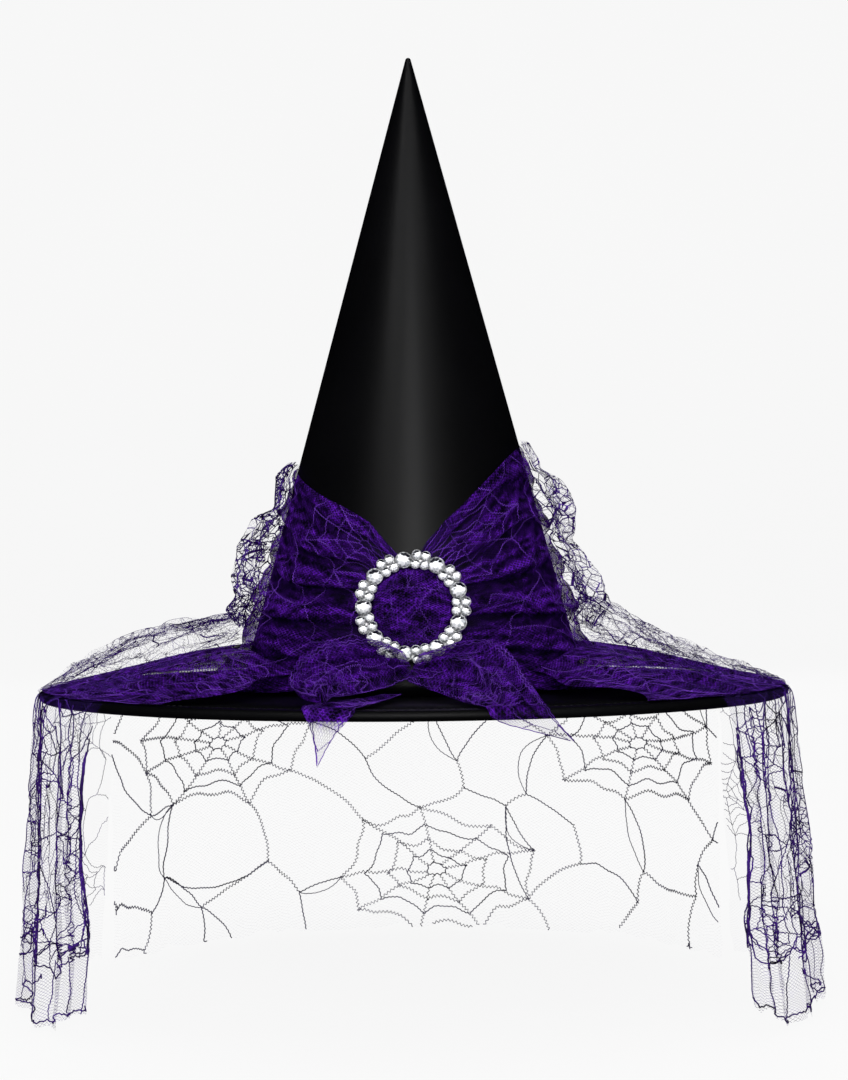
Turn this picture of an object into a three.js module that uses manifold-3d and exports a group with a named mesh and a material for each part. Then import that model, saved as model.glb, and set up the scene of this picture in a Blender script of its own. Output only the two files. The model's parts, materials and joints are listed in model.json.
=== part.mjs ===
// A costume witch hat: a satin cone on a flat wired brim, a gathered lace band drawn through a
// rhinestone ring buckle at the front, and a spider-web lace veil that runs over the brim and
// hangs from its edge at the sides and back.
//
// Millimetres, +Z up. The origin is the centre of the head opening on the brim's underside.
// The front, with the buckle, faces -Y. Left and right are as seen from the front, so left is -X.
// Azimuths of the lace are measured round the hat from the back, +Y, and grow towards +X.

import * as THREE from "three";
import { mergeVertices } from "three/addons/utils/BufferGeometryUtils.js";
import Module from "manifold-3d";

const wasm = await Module();
wasm.setup();

// Driving dimensions
const GAP = 0.3; // between pieces that touch
const TURN_STEPS = 60; // facets round a turned piece
const ROUND_STEPS = 4; // facets in a small arc

const BRIM_RADIUS = 195;
const COVER_THICKNESS = 0.6; // satin on the brim, above and below
const BRIM_BOARD_THICKNESS = 1.4;

const CROWN_RADIUS = 90.5; // outside, where the cone meets the brim
const CROWN_APEX = 338; // height where the cone's sides would meet
const TIP_RADIUS = 1.5;
const CROWN_SATIN = 0.8;
const CROWN_FOAM = 1.6;

const SWEATBAND_HEIGHT = 28;
const SWEATBAND_THICKNESS = 0.8;

const WIRE_RADIUS = 1;
const BINDING_WIDTH = 12;
const BINDING_THICKNESS = 0.6;

const WRAP_THICKNESS = 4;
const WRAP_CENTRE_HEIGHT = 76; // the band's top edge over the buckle
const WRAP_SIDE_HEIGHTS = { left: 122, right: 130 };

const BUCKLE_HEIGHT = 45; // where the cone carries the buckle's centre
const BUCKLE_RADIUS = 24; // middle of the stone ring
const BUCKLE_BAND = 9;
const BUCKLE_THICKNESS = 2.5;
const BUCKLE_STANDOFF = 1.5; // between the lace band and the back of the ring
const STONE_PLACES = 9; // large stones, with a set of four small ones between each two
const LARGE_STONE_RADIUS = 3.6;
const SMALL_STONE_RADIUS = 2.1;
const SMALL_STONE_PITCH = 4.65;

const VEIL_DROP = 160;
const VEIL_THICKNESS = 2;
const VEIL_FRONT = 131; // azimuth of the veil's two front edges
const LINING_FRONT = 146; // azimuth of its lining's front edges
const BACK_DROP_SPREAD = 59; // azimuth of the back drop's two edges
const SIDE_DROP_START = 63; // azimuth of a side drop's rear edge

// Heights and angles that follow
const BOARD_BASE = COVER_THICKNESS + GAP;
const TOP_COVER_BASE = BOARD_BASE + BRIM_BOARD_THICKNESS + GAP;
const BRIM_TOP = TOP_COVER_BASE + COVER_THICKNESS;
const BRIM_MIDDLE = BRIM_TOP / 2;
const CROWN_BASE = BRIM_TOP + GAP;
const SLOPE = CROWN_RADIUS / (CROWN_APEX - CROWN_BASE);
const LEAN = Math.atan(SLOPE);

const degrees = THREE.MathUtils.degToRad;
const at = (x, y) => new THREE.Vector2(x, y);

// Radius at a height of a cone that lies this far inside the crown's outer face, or outside it if negative
const coneRadius = (z, inside = 0) => (CROWN_APEX - z) * SLOPE - inside / Math.cos(LEAN);

// Materials
const fabric = (color, roughness) => new THREE.MeshStandardMaterial({ color, roughness, metalness: 0 });
const satin = fabric(0x0b0b0d, 0.45);
const foam = fabric(0x1a1a1c, 0.95);
const board = fabric(0x202022, 0.9);
const ribbon = fabric(0x0e0e10, 0.6);
const lace = fabric(0x2f1275, 0.8);
const steel = new THREE.MeshStandardMaterial({ color: 0x9a9a9e, roughness: 0.35, metalness: 1 });
const silver = new THREE.MeshStandardMaterial({ color: 0xd8d8dc, roughness: 0.2, metalness: 1 });
const crystal = new THREE.MeshStandardMaterial({ color: 0xf2f5fa, roughness: 0.05, metalness: 0.2 });

// Solids
function solidOf(geometry) {
  const bare = geometry.clone();
  bare.deleteAttribute("normal");
  bare.deleteAttribute("uv");
  const merged = mergeVertices(bare, 1e-4);
  return new wasm.Manifold(
    new wasm.Mesh({
      numProp: 3,
      vertProperties: merged.attributes.position.array,
      triVerts: new Uint32Array(merged.index.array),
    }),
  );
}

function geometryOf(solid) {
  const mesh = solid.getMesh();
  return new THREE.BufferGeometry()
    .setAttribute("position", new THREE.BufferAttribute(mesh.vertProperties, 3))
    .setIndex(new THREE.BufferAttribute(mesh.triVerts, 1));
}

// Profile of radius and height, turned about Z
function turned(profile, steps = TURN_STEPS) {
  const points = THREE.ShapeUtils.area(profile) < 0 ? [...profile].reverse() : profile;
  return new THREE.LatheGeometry(points, steps).rotateX(Math.PI / 2);
}

// Flat ring
const ring = (inner, outer, low, high) =>
  turned([at(inner, low), at(outer, low), at(outer, high), at(inner, high), at(inner, low)]);

// Cone-shaped band between two depths inside the crown's outer face, from one height to another
const coneBand = (near, deep, low, high) => [
  at(coneRadius(low, deep), low),
  at(coneRadius(low, near), low),
  at(coneRadius(high, near), high),
  at(coneRadius(high, deep), high),
  at(coneRadius(low, deep), low),
];

// Points of an arc in a profile
function arc(x, y, radius, start, end, steps = ROUND_STEPS) {
  const points = [];
  for (let i = 0; i <= steps; i++) {
    const angle = start + ((end - start) * i) / steps;
    points.push(at(x + radius * Math.cos(angle), y + radius * Math.sin(angle)));
  }
  return points;
}

// Part of a flat ring between two azimuths, rising from a height
function sector(inner, outer, from, to, low, high, steps) {
  const start = degrees(90 - to);
  const end = degrees(90 - from);
  const shape = new THREE.Shape();
  shape.absarc(0, 0, outer, start, end, false);
  shape.absarc(0, 0, inner, end, start, true);
  shape.closePath();
  const options = { depth: high - low, bevelEnabled: false, curveSegments: steps };
  return new THREE.ExtrudeGeometry(shape, options).translate(0, 0, low);
}

const hat = new THREE.Group();

function add(name, geometry, material, parent = hat) {
  const mesh = new THREE.Mesh(geometry, material);
  mesh.name = name;
  parent.add(mesh);
  return mesh;
}

// Crown: a satin cone, a foam cone inside it, and a ribbon round the head
function crownShell() {
  const tip = CROWN_APEX - TIP_RADIUS / Math.sin(LEAN);
  const innerTop = tip - 3 * TIP_RADIUS;
  return turned([
    at(0, innerTop),
    at(coneRadius(innerTop, CROWN_SATIN), innerTop),
    at(coneRadius(CROWN_BASE, CROWN_SATIN), CROWN_BASE),
    at(CROWN_RADIUS, CROWN_BASE),
    ...arc(0, tip, TIP_RADIUS, LEAN, Math.PI / 2),
  ]);
}

function crownFoam() {
  const top = CROWN_APEX * 0.94;
  const near = CROWN_SATIN + GAP;
  return turned(coneBand(near, near + CROWN_FOAM, CROWN_BASE, top));
}

function sweatband() {
  const near = CROWN_SATIN + CROWN_FOAM + 2 * GAP;
  return turned(coneBand(near, near + SWEATBAND_THICKNESS, 0, SWEATBAND_HEIGHT));
}

add("crown_satin_cone", crownShell(), satin);
add("crown_foam_stiffener", crownFoam(), foam);
add("sweatband", sweatband(), ribbon);

// Brim: two satin rings over a stiff board, a wire hoop at the edge, and a binding folded round it
const brimInner = coneRadius(0, CROWN_SATIN + CROWN_FOAM + GAP);
const edgeRound = BRIM_MIDDLE + GAP + BINDING_THICKNESS; // radius of the binding's rounded fold
const foldCentre = BRIM_RADIUS - edgeRound;
const layerOuter = foldCentre - 2 * WIRE_RADIUS + edgeRound - BINDING_THICKNESS - 2 * GAP;
const wireCentre = BRIM_RADIUS - BINDING_THICKNESS - GAP - WIRE_RADIUS;

function brimBinding() {
  const inner = BRIM_RADIUS - BINDING_WIDTH;
  const outside = arc(foldCentre, BRIM_MIDDLE, edgeRound, -Math.PI / 2, Math.PI / 2);
  const inside = arc(foldCentre, BRIM_MIDDLE, edgeRound - BINDING_THICKNESS, Math.PI / 2, -Math.PI / 2);
  const low = BRIM_MIDDLE - edgeRound;
  const high = BRIM_MIDDLE + edgeRound;
  return turned([
    at(inner, low),
    ...outside,
    at(inner, high),
    at(inner, high - BINDING_THICKNESS),
    ...inside,
    at(inner, low + BINDING_THICKNESS),
    at(inner, low),
  ]);
}

add("brim_under_cover", ring(brimInner, layerOuter, 0, COVER_THICKNESS), satin);
add("brim_board", ring(brimInner, layerOuter, BOARD_BASE, BOARD_BASE + BRIM_BOARD_THICKNESS), board);
add("brim_top_cover", ring(brimInner, layerOuter, TOP_COVER_BASE, BRIM_TOP), satin);
add("brim_binding", brimBinding(), satin);
const wireLoop = new THREE.TorusGeometry(wireCentre, WIRE_RADIUS, ROUND_STEPS, TURN_STEPS);
add("brim_wire", wireLoop, steel).position.z = BRIM_MIDDLE;

// Lace band round the crown, in two halves that meet under the buckle and at the back.
// Its top edge dips in a V to the buckle.
function wrapHalf(side) {
  const near = -GAP - 0.2;
  const band = solidOf(turned(coneBand(near - WRAP_THICKNESS, near, CROWN_BASE + GAP, WRAP_SIDE_HEIGHTS[side])));
  const reach = 2 * CROWN_RADIUS;
  const neckline = new THREE.Shape([
    at(0, WRAP_CENTRE_HEIGHT),
    at(coneRadius(WRAP_SIDE_HEIGHTS.right), WRAP_SIDE_HEIGHTS.right),
    at(coneRadius(WRAP_SIDE_HEIGHTS.right), reach),
    at(-coneRadius(WRAP_SIDE_HEIGHTS.left), reach),
    at(-coneRadius(WRAP_SIDE_HEIGHTS.left), WRAP_SIDE_HEIGHTS.left),
  ]);
  const options = { depth: reach, bevelEnabled: false };
  const notch = solidOf(new THREE.ExtrudeGeometry(neckline, options).rotateX(Math.PI / 2));
  const sign = side === "left" ? -1 : 1;
  const keep = new THREE.BoxGeometry(reach, 2 * reach, 2 * reach).translate(sign * (reach / 2 + GAP), 0, 0);
  return geometryOf(band.subtract(notch).intersect(solidOf(keep)));
}

add("crown_wrap_left", wrapHalf("left"), lace);
add("crown_wrap_right", wrapHalf("right"), lace);

// Ring buckle, built flat in a group that leans back with the cone
const buckle = new THREE.Group();
const buckleLift = GAP + WRAP_THICKNESS + BUCKLE_STANDOFF + BUCKLE_THICKNESS;
buckle.position.set(
  0,
  -coneRadius(BUCKLE_HEIGHT) - buckleLift * Math.cos(LEAN),
  BUCKLE_HEIGHT + buckleLift * Math.sin(LEAN),
);
buckle.rotation.x = Math.PI / 2 - LEAN;
hat.add(buckle);

// Cast ring with a slide bar across its back
function buckleFrame() {
  const inner = BUCKLE_RADIUS - BUCKLE_BAND / 2;
  const hoop = solidOf(ring(inner, BUCKLE_RADIUS + BUCKLE_BAND / 2, -BUCKLE_THICKNESS, 0));
  const bar = new THREE.BoxGeometry(3, 2 * inner + 2, 1.2).translate(0, 0, 0.7 - BUCKLE_THICKNESS);
  return geometryOf(hoop.add(solidOf(bar)));
}

// Stone with a flat table, pointing along +Z
const stone = (radius, facets) =>
  new THREE.CylinderGeometry(radius * 0.55, radius, radius * 0.75, facets)
    .rotateX(Math.PI / 2)
    .translate(0, 0, radius * 0.375);

// Four small stones, two by two, in a shared cup plate
function smallStoneSet() {
  const plateThickness = 0.7;
  const plateSize = SMALL_STONE_PITCH + SMALL_STONE_RADIUS;
  let set = solidOf(new THREE.BoxGeometry(plateSize, plateSize, plateThickness));
  for (const x of [-1, 1]) {
    for (const y of [-1, 1]) {
      const place = [(x * SMALL_STONE_PITCH) / 2, (y * SMALL_STONE_PITCH) / 2, 0];
      set = set.add(solidOf(stone(SMALL_STONE_RADIUS, 8).translate(...place)));
    }
  }
  return geometryOf(set).translate(0, 0, plateThickness / 2);
}

// The lace gathered in the ring, in front of the bar
function buckleGather() {
  const radius = BUCKLE_RADIUS - BUCKLE_BAND / 2 - 0.9;
  const base = -0.9;
  const rise = 4.5;
  const bulge = (radius * radius + rise * rise) / (2 * rise);
  const start = Math.asin(radius / bulge);
  const dome = arc(0, base + rise - bulge, bulge, Math.PI / 2 - start, Math.PI / 2);
  return turned([at(0, base), ...dome], TURN_STEPS / 2);
}

add("buckle_frame", buckleFrame(), silver, buckle);
add("buckle_gather", buckleGather(), lace, buckle);
const placeAngle = (2 * Math.PI) / STONE_PLACES;
for (let i = 0; i < STONE_PLACES; i++) {
  const large = add(`large_stone_${i + 1}`, stone(LARGE_STONE_RADIUS, 10), crystal, buckle);
  const largeAngle = (i + 0.5) * placeAngle;
  large.position.set(BUCKLE_RADIUS * Math.cos(largeAngle), BUCKLE_RADIUS * Math.sin(largeAngle), GAP);
  const small = add(`small_stone_set_${i + 1}`, smallStoneSet(), crystal, buckle);
  const smallAngle = i * placeAngle;
  small.position.set(BUCKLE_RADIUS * Math.cos(smallAngle), BUCKLE_RADIUS * Math.sin(smallAngle), GAP);
  small.rotation.z = smallAngle;
}

// Bow tails: the two ends of the lace band. Each leaves from under the buckle, lies on the brim
// and hangs over its front edge.
const TAIL_ROOT_WIDTH = 15;
const TAIL_THICKNESS = 3;
const TAIL_ROOT = { y: -99, z: 11 };
const TAILS = {
  left: { x: -10, width: 46, turn: -17, hang: 20 },
  right: { x: 10, width: 38, turn: 26, hang: 13 },
};

// Built along -Y from its root, down to the brim and over its edge
function bowTail({ x, width, turn, hang }) {
  const rootOut = x * Math.sin(degrees(turn)) - TAIL_ROOT.y * Math.cos(degrees(turn));
  const reach = BRIM_RADIUS + 1 + TAIL_THICKNESS - rootOut;
  const half = TAIL_THICKNESS / 2;
  const onBrim = BRIM_MIDDLE + edgeRound + GAP + half - TAIL_ROOT.z;
  const lie = 22; // along the tail, where it comes down to the brim
  const side = new THREE.Shape([
    at(0, half),
    at(lie, onBrim + half),
    at(reach, onBrim + half),
    at(reach, -hang - TAIL_ROOT.z),
    at(reach - TAIL_THICKNESS, -hang - TAIL_ROOT.z),
    at(reach - TAIL_THICKNESS, onBrim - half),
    at(lie, onBrim - half),
    at(0, -half),
  ]);
  const sideways = { depth: 2 * width, bevelEnabled: false };
  const bent = new THREE.ExtrudeGeometry(side, sideways).translate(0, 0, -width);
  bent.rotateX(Math.PI / 2).rotateZ(-Math.PI / 2);
  const plan = new THREE.Shape([
    at(-TAIL_ROOT_WIDTH / 2, 1),
    at(-width / 2, -reach - 1),
    at(width / 2, -reach - 1),
    at(TAIL_ROOT_WIDTH / 2, 1),
  ]);
  const upwards = { depth: 4 * reach, bevelEnabled: false };
  const cut = new THREE.ExtrudeGeometry(plan, upwards).translate(0, 0, -2 * reach);
  return geometryOf(solidOf(bent).intersect(solidOf(cut)));
}

for (const [side, tail] of Object.entries(TAILS)) {
  const mesh = add(`bow_tail_${side}`, bowTail(tail), lace);
  mesh.position.set(tail.x, TAIL_ROOT.y, TAIL_ROOT.z);
  mesh.rotation.z = degrees(tail.turn);
}

// Bow loop: the drooping loop that stands on the left tail, with its opening to the front.
// It is a band wound round a large and a small circle.
const LOOP = {
  wide: { x: -45, z: 20, radius: 12 },
  narrow: { x: -14, z: 21, radius: 6 },
  front: -154,
  back: -122,
};
const LOOP_THICKNESS = 2;

// Outline round the loop's two circles, this far inside their edges
function loopOutline(inside) {
  const { wide, narrow } = LOOP;
  const apart = Math.hypot(narrow.x - wide.x, narrow.z - wide.z);
  const tangent = Math.acos((wide.radius - narrow.radius) / apart);
  const wideArc = [wide.x, wide.z, wide.radius - inside, tangent, 2 * Math.PI - tangent];
  const narrowArc = [narrow.x, narrow.z, narrow.radius - inside, -tangent, tangent];
  return [...arc(...wideArc, 3 * ROUND_STEPS), ...arc(...narrowArc, 2 * ROUND_STEPS)];
}

function bowLoop() {
  const band = new THREE.Shape(loopOutline(0));
  band.holes.push(new THREE.Path(loopOutline(LOOP_THICKNESS)));
  const deep = { depth: LOOP.back - LOOP.front, bevelEnabled: false };
  return new THREE.ExtrudeGeometry(band, deep).rotateX(Math.PI / 2).translate(0, LOOP.back, 0);
}

add("bow_loop_left", bowLoop(), lace);

// Pie slice of the whole hat between two azimuths, to cut a turned piece with
const pie = (from, to) =>
  solidOf(sector(1, 2 * BRIM_RADIUS, from, to, -CROWN_APEX, CROWN_APEX, TURN_STEPS / 2));

// Veil on the brim: a tented sheet that falls from the crown's side to the brim's edge,
// and under it the doubled edge of the same lace, flat on the brim
const TENT_HEIGHT = 43; // at the crown
const LINING_MARGIN = 10;

function veilTent() {
  const crownEnd = at(coneRadius(TENT_HEIGHT, -2 * WRAP_THICKNESS), TENT_HEIGHT);
  const edge = at(BRIM_RADIUS - 0.5, BRIM_MIDDLE + edgeRound + 2 * GAP);
  const raised = (point) => at(point.x, point.y + VEIL_THICKNESS);
  const profile = [crownEnd, edge, raised(edge), raised(crownEnd), crownEnd];
  return geometryOf(solidOf(turned(profile)).intersect(pie(-VEIL_FRONT, VEIL_FRONT)));
}

function veilLining() {
  const low = BRIM_MIDDLE + edgeRound + GAP;
  const inner = coneRadius(low, -2 * WRAP_THICKNESS);
  const outer = BRIM_RADIUS - LINING_MARGIN;
  return sector(inner, outer, -LINING_FRONT, LINING_FRONT, low, low + VEIL_THICKNESS, 40);
}

// Ruffle: the veil's gathered top edge, which stands out round the sides and back of the crown
const RUFFLE = { low: 46, high: 122, out: 16, end: 102, split: 36 };
const RUFFLE_GAP = 2; // degrees

function ruffle(from, to) {
  const near = -(WRAP_THICKNESS + 4 * GAP);
  const middle = (RUFFLE.low + RUFFLE.high) / 2;
  const ringOfLace = solidOf(
    turned([
      at(coneRadius(RUFFLE.low, near), RUFFLE.low),
      at(coneRadius(RUFFLE.low, near) + RUFFLE.out * 0.8, RUFFLE.low),
      at(coneRadius(middle, near) + RUFFLE.out, middle),
      at(coneRadius(RUFFLE.high, near) + RUFFLE.out * 0.4, RUFFLE.high),
      at(coneRadius(RUFFLE.high, near), RUFFLE.high),
      at(coneRadius(RUFFLE.low, near), RUFFLE.low),
    ]),
  );
  return geometryOf(ringOfLace.intersect(pie(from, to)));
}

add("veil_tent", veilTent(), lace);
add("veil_lining", veilLining(), lace);
add("ruffle_left", ruffle(-RUFFLE.end, -RUFFLE.split - RUFFLE_GAP), lace);
add("ruffle_back", ruffle(-RUFFLE.split, RUFFLE.split), lace);
add("ruffle_right", ruffle(RUFFLE.split + RUFFLE_GAP, RUFFLE.end), lace);

// Veil drops: three lengths of the veil that hang from the brim's edge
const dropInner = BRIM_RADIUS + 1;
const dropTop = BRIM_MIDDLE + edgeRound;
const drop = (from, to) =>
  sector(dropInner, dropInner + VEIL_THICKNESS, from, to, dropTop - VEIL_DROP, dropTop, 12);

add("veil_drop_left", drop(-VEIL_FRONT, -SIDE_DROP_START), lace);
add("veil_drop_back", drop(-BACK_DROP_SPREAD, BACK_DROP_SPREAD), lace);
add("veil_drop_right", drop(SIDE_DROP_START, VEIL_FRONT), lace);

export default hat;
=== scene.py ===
"""Looks of the witch hat: satin cone and brim, gathered spider-web lace, stone-set ring buckle.

Metres, in the part's own frame: origin in the head opening, +Z up, the buckle facing -Y.
Azimuths of the lace are measured round the hat from the back, +Y, growing towards +X.
"""

import json
import math

import bmesh
import bpy
import numpy as np
from mathutils import Matrix, Vector


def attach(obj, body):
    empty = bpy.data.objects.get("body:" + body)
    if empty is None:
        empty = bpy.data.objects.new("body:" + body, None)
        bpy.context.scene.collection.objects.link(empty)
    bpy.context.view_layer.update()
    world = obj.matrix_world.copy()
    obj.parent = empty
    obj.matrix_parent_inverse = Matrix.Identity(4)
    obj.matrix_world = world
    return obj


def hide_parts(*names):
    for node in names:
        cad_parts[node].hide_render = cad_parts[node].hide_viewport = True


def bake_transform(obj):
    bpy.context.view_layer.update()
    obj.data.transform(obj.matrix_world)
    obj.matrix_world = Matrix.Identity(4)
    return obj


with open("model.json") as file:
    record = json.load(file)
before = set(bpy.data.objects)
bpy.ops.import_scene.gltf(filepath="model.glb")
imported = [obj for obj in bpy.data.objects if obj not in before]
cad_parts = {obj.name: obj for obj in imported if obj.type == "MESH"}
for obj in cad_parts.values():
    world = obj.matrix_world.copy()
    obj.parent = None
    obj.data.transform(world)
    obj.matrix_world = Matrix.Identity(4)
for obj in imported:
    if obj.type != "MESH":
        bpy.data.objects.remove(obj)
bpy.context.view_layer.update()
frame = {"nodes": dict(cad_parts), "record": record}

MM = 0.001

FULL_TURN = 6.28  # near enough for a random phase

# Camera: in front of the brim and a little above it, as in the photograph
CAMERA_DISTANCE = 1.252
CAMERA_HEIGHT = 0.080
CAMERA_SIDE = 0.006
CAMERA_ROLL = math.radians(0.55)
CAMERA_LENS = 79.3

# Sizes shared with the CAD part
BRIM_RADIUS = 195 * MM
BRIM_TOP = 3.2 * MM
EDGE_TOP = 4.1 * MM
EDGE_LOW = -0.9 * MM
CROWN_BASE = 3.5 * MM
CROWN_APEX = 338 * MM
CROWN_RADIUS = 90.5 * MM
SLOPE = CROWN_RADIUS / (CROWN_APEX - CROWN_BASE)
LEAN = math.atan(SLOPE)
TIP_RADIUS = 1.5 * MM
BUCKLE_RADIUS = 24 * MM
BUCKLE_CENTRE = Vector((0, -87.284 * MM, 47.168 * MM))
DROP_LENGTH = 160 * MM
VEIL_FRONT = 131
LINING_FRONT = 146
FLOOR_HEIGHT = -158.5 * MM
SATIN_THICKNESS = 0.8 * MM
COVER_THICKNESS = 0.6 * MM
STONE_PLACES = 9
STONE_SIDES = 10
CUP_SIDES = 16
RING_HALF_WIDTH = 2.8 * MM
EDGE_ROUND = (EDGE_TOP - EDGE_LOW) / 2
EDGE_MIDDLE = (EDGE_TOP + EDGE_LOW) / 2


def cone_radius(z, out=0.0):
    """Radius at a height of a cone that lies this far outside the crown."""
    return (CROWN_APEX - z) * SLOPE + out / math.cos(LEAN)


def ease(x):
    x = np.clip(x, 0, 1)
    return x * x * (3 - 2 * x)


def between(low, high, x):
    return ease((np.asarray(x, float) - low) / (high - low))


def unit(rows):
    """Each row of an array, brought to length 1."""
    return rows / (np.linalg.norm(rows, axis=-1, keepdims=True) + 1e-12)


def random_phases(rng, count=8):
    return rng.uniform(0, FULL_TURN, count)


def arch(x, low=0.0, high=1.0):
    """A half wave: 0 at 0 and 1, and 1 halfway."""
    return np.sin(np.pi * np.clip(x, low, high))


# ---------------------------------------------------------------- camera, light, floor


def add_object(name, data):
    obj = bpy.data.objects.new(name, data)
    bpy.context.scene.collection.objects.link(obj)
    return obj


def belongs(piece, body, slot, *nodes):
    """A piece moves with a body and stands for CAD nodes. slot is not used."""
    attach(piece, body)
    if nodes:
        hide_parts(*nodes)


def make_camera():
    data = bpy.data.cameras.new("camera")
    data.lens = CAMERA_LENS
    data.sensor_width = 36
    data.clip_start = 0.05
    camera = add_object("camera", data)
    place = Matrix.Translation((CAMERA_SIDE, -CAMERA_DISTANCE, CAMERA_HEIGHT))
    turn = Matrix.Rotation(math.pi / 2, 4, "X") @ Matrix.Rotation(-CAMERA_ROLL, 4, "Z")
    camera.matrix_world = place @ turn
    bpy.context.scene.camera = camera


def softbox(name, place, target, size, power, glossy):
    data = bpy.data.lights.new(name, "AREA")
    data.shape = "RECTANGLE"
    data.size, data.size_y = size
    data.energy = power
    light = add_object(name, data)
    aim = Vector(target) - Vector(place)
    light.matrix_world = Matrix.Translation(place) @ aim.to_track_quat("-Z", "Y").to_matrix().to_4x4()
    light.visible_glossy = glossy
    light.visible_camera = False


# Name, place, target, size, power, and whether gloss shows it
LIGHTS = [
    ("key_strip", (0.08, -2.9, 0.9), (0, 0, 0.15), (0.5, 2.2), 23, True),
    ("front_fill", (-0.3, -2.4, 1.6), (0, 0, 0.05), (2.0, 1.2), 34, False),
    ("top_box", (0, -0.5, 2.6), (0, 0, 0), (2.4, 2.4), 42, False),
    ("left_box", (-2.4, -1.2, 1.1), (0, 0, 0.05), (1.6, 1.8), 20, False),
    ("right_box", (2.4, -1.2, 1.1), (0, 0, 0.05), (1.6, 1.8), 20, False),
    ("back_box", (0.3, 2.6, 1.4), (0, 0, 0), (2.2, 1.6), 22, False),
    ("sparkle_left", (-0.9, -1.6, 1.7), (0, -0.09, 0.05), (0.3, 0.3), 3, True),
    ("sparkle_right", (0.8, -1.3, 1.9), (0, -0.09, 0.05), (0.25, 0.25), 2, True),
]


def make_lights():
    for light in LIGHTS:
        softbox(*light)
    scene = bpy.context.scene
    world = scene.world = bpy.data.worlds.new("studio")
    world.use_nodes = True
    sky = world.node_tree.nodes["Background"].inputs
    sky["Color"].default_value = (0.97, 0.98, 1, 1)
    sky["Strength"].default_value = 0.3
    world.cycles_visibility.glossy = False
    scene.view_settings.view_transform = "Standard"
    scene.cycles.transparent_max_bounces = 24
    scene.cycles.max_bounces = 6
    scene.cycles.diffuse_bounces = 2


def make_floor(low):
    """A round floor that curves up into a wall on all sides."""
    reach, wall, height = 3.2, 1.2, 4.0
    profile = [(0.0, low), (1.0, low), (reach, low)]
    for i in range(1, 13):
        a = math.pi / 2 * i / 12
        profile.append((reach + wall * math.sin(a), low + wall * (1 - math.cos(a))))
    profile.append((reach + wall, low + height))
    floor = lathe("studio_floor", profile, 96, floor_material())
    floor.visible_glossy = False


# ---------------------------------------------------------------- materials


class Graph:
    """Short way to write a material's nodes."""

    def __init__(self, name):
        self.material = bpy.data.materials.new(name)
        self.material.use_nodes = True
        self.tree = self.material.node_tree
        self.shader = self.tree.nodes["Principled BSDF"]

    def node(self, kind, inputs=None, **settings):
        node = self.tree.nodes.new("ShaderNode" + kind)
        for key, value in settings.items():
            setattr(node, key, value)
        for key, value in (inputs or {}).items():
            self.feed(node.inputs[key], value)
        return node

    def feed(self, socket, value):
        if isinstance(value, bpy.types.NodeSocket):
            self.tree.links.new(value, socket)
        else:
            socket.default_value = value

    def point(self):
        return self.node("TexCoord").outputs["Object"]

    def math(self, operation, a, b=0.0):
        return self.node("Math", {0: a, 1: b}, operation=operation).outputs[0]

    def times(self, a, b):
        return self.math("MULTIPLY", a, b)

    def plus(self, a, b):
        return self.math("ADD", a, b)

    def noise(self, scale, detail, vector):
        return self.node("TexNoise", {"Scale": scale, "Detail": detail, "Vector": vector}).outputs["Fac"]

    def ramp(self, fac, stops):
        node = self.node("ValToRGB", {"Fac": fac})
        elements = node.color_ramp.elements
        while len(elements) < len(stops):
            elements.new(0.5)
        for element, (place, colour) in zip(elements, stops):
            element.position = place
            element.color = (*colour, 1)
        return node.outputs["Color"]

    def span(self, value, low, high, first=0.0, last=1.0):
        """A value carried from the span low to high to the span first to last."""
        inputs = {"Value": value, "From Min": low, "From Max": high, "To Min": first, "To Max": last}
        return self.node("MapRange", inputs).outputs["Result"]

    def clear(self, fac):
        """A noise drawn out to the whole span from 0 to 1."""
        return self.span(fac, 0.34, 0.66)

    def stroke(self, off, width):
        """1 on a line and 0 away from it, from the distance to the line and the line's width."""
        return self.span(off, width * 0.6, width * 0.4)

    def bump(self, height, strength, distance):
        inputs = {"Height": height, "Strength": strength, "Distance": distance}
        node = self.node("Bump", inputs)
        self.feed(self.shader.inputs["Normal"], node.outputs["Normal"])

    def set(self, **inputs):
        for key, value in inputs.items():
            self.feed(self.shader.inputs[key.replace("_", " ")], value)
        return self.material


def satin_material(name, roughness):
    g = Graph(name)
    colour = (0.0006, 0.0006, 0.0008)
    point = g.point()
    cloud = g.noise(14, 4, point)
    fine = g.noise(2600, 2, point)
    soft = g.noise(38, 2, point)
    lighter = tuple(c * 1.7 for c in colour)
    weave = g.plus(g.times(fine, 0.05), soft)
    g.bump(weave, 0.16, 0.4 * MM)
    return g.set(
        Base_Color=g.ramp(cloud, [(0.35, colour), (0.7, lighter)]),
        Roughness=g.span(cloud, 0.0, 1.0, roughness - 0.04, roughness + 0.06),
        Specular_IOR_Level=0.35,
    )


def thread_material(name, dark, light):
    """Twisted lace thread."""
    g = Graph(name)
    point = g.point()
    mottle = g.noise(60, 4, point)
    g.bump(g.noise(2700, 2, point), 0.5, 0.1 * MM)
    colour = g.ramp(mottle, [(0.35, dark), (0.65, light)])
    return g.set(Base_Color=colour, Roughness=0.75, Specular_IOR_Level=0.08)


NET_TILT = math.radians(60)


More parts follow.
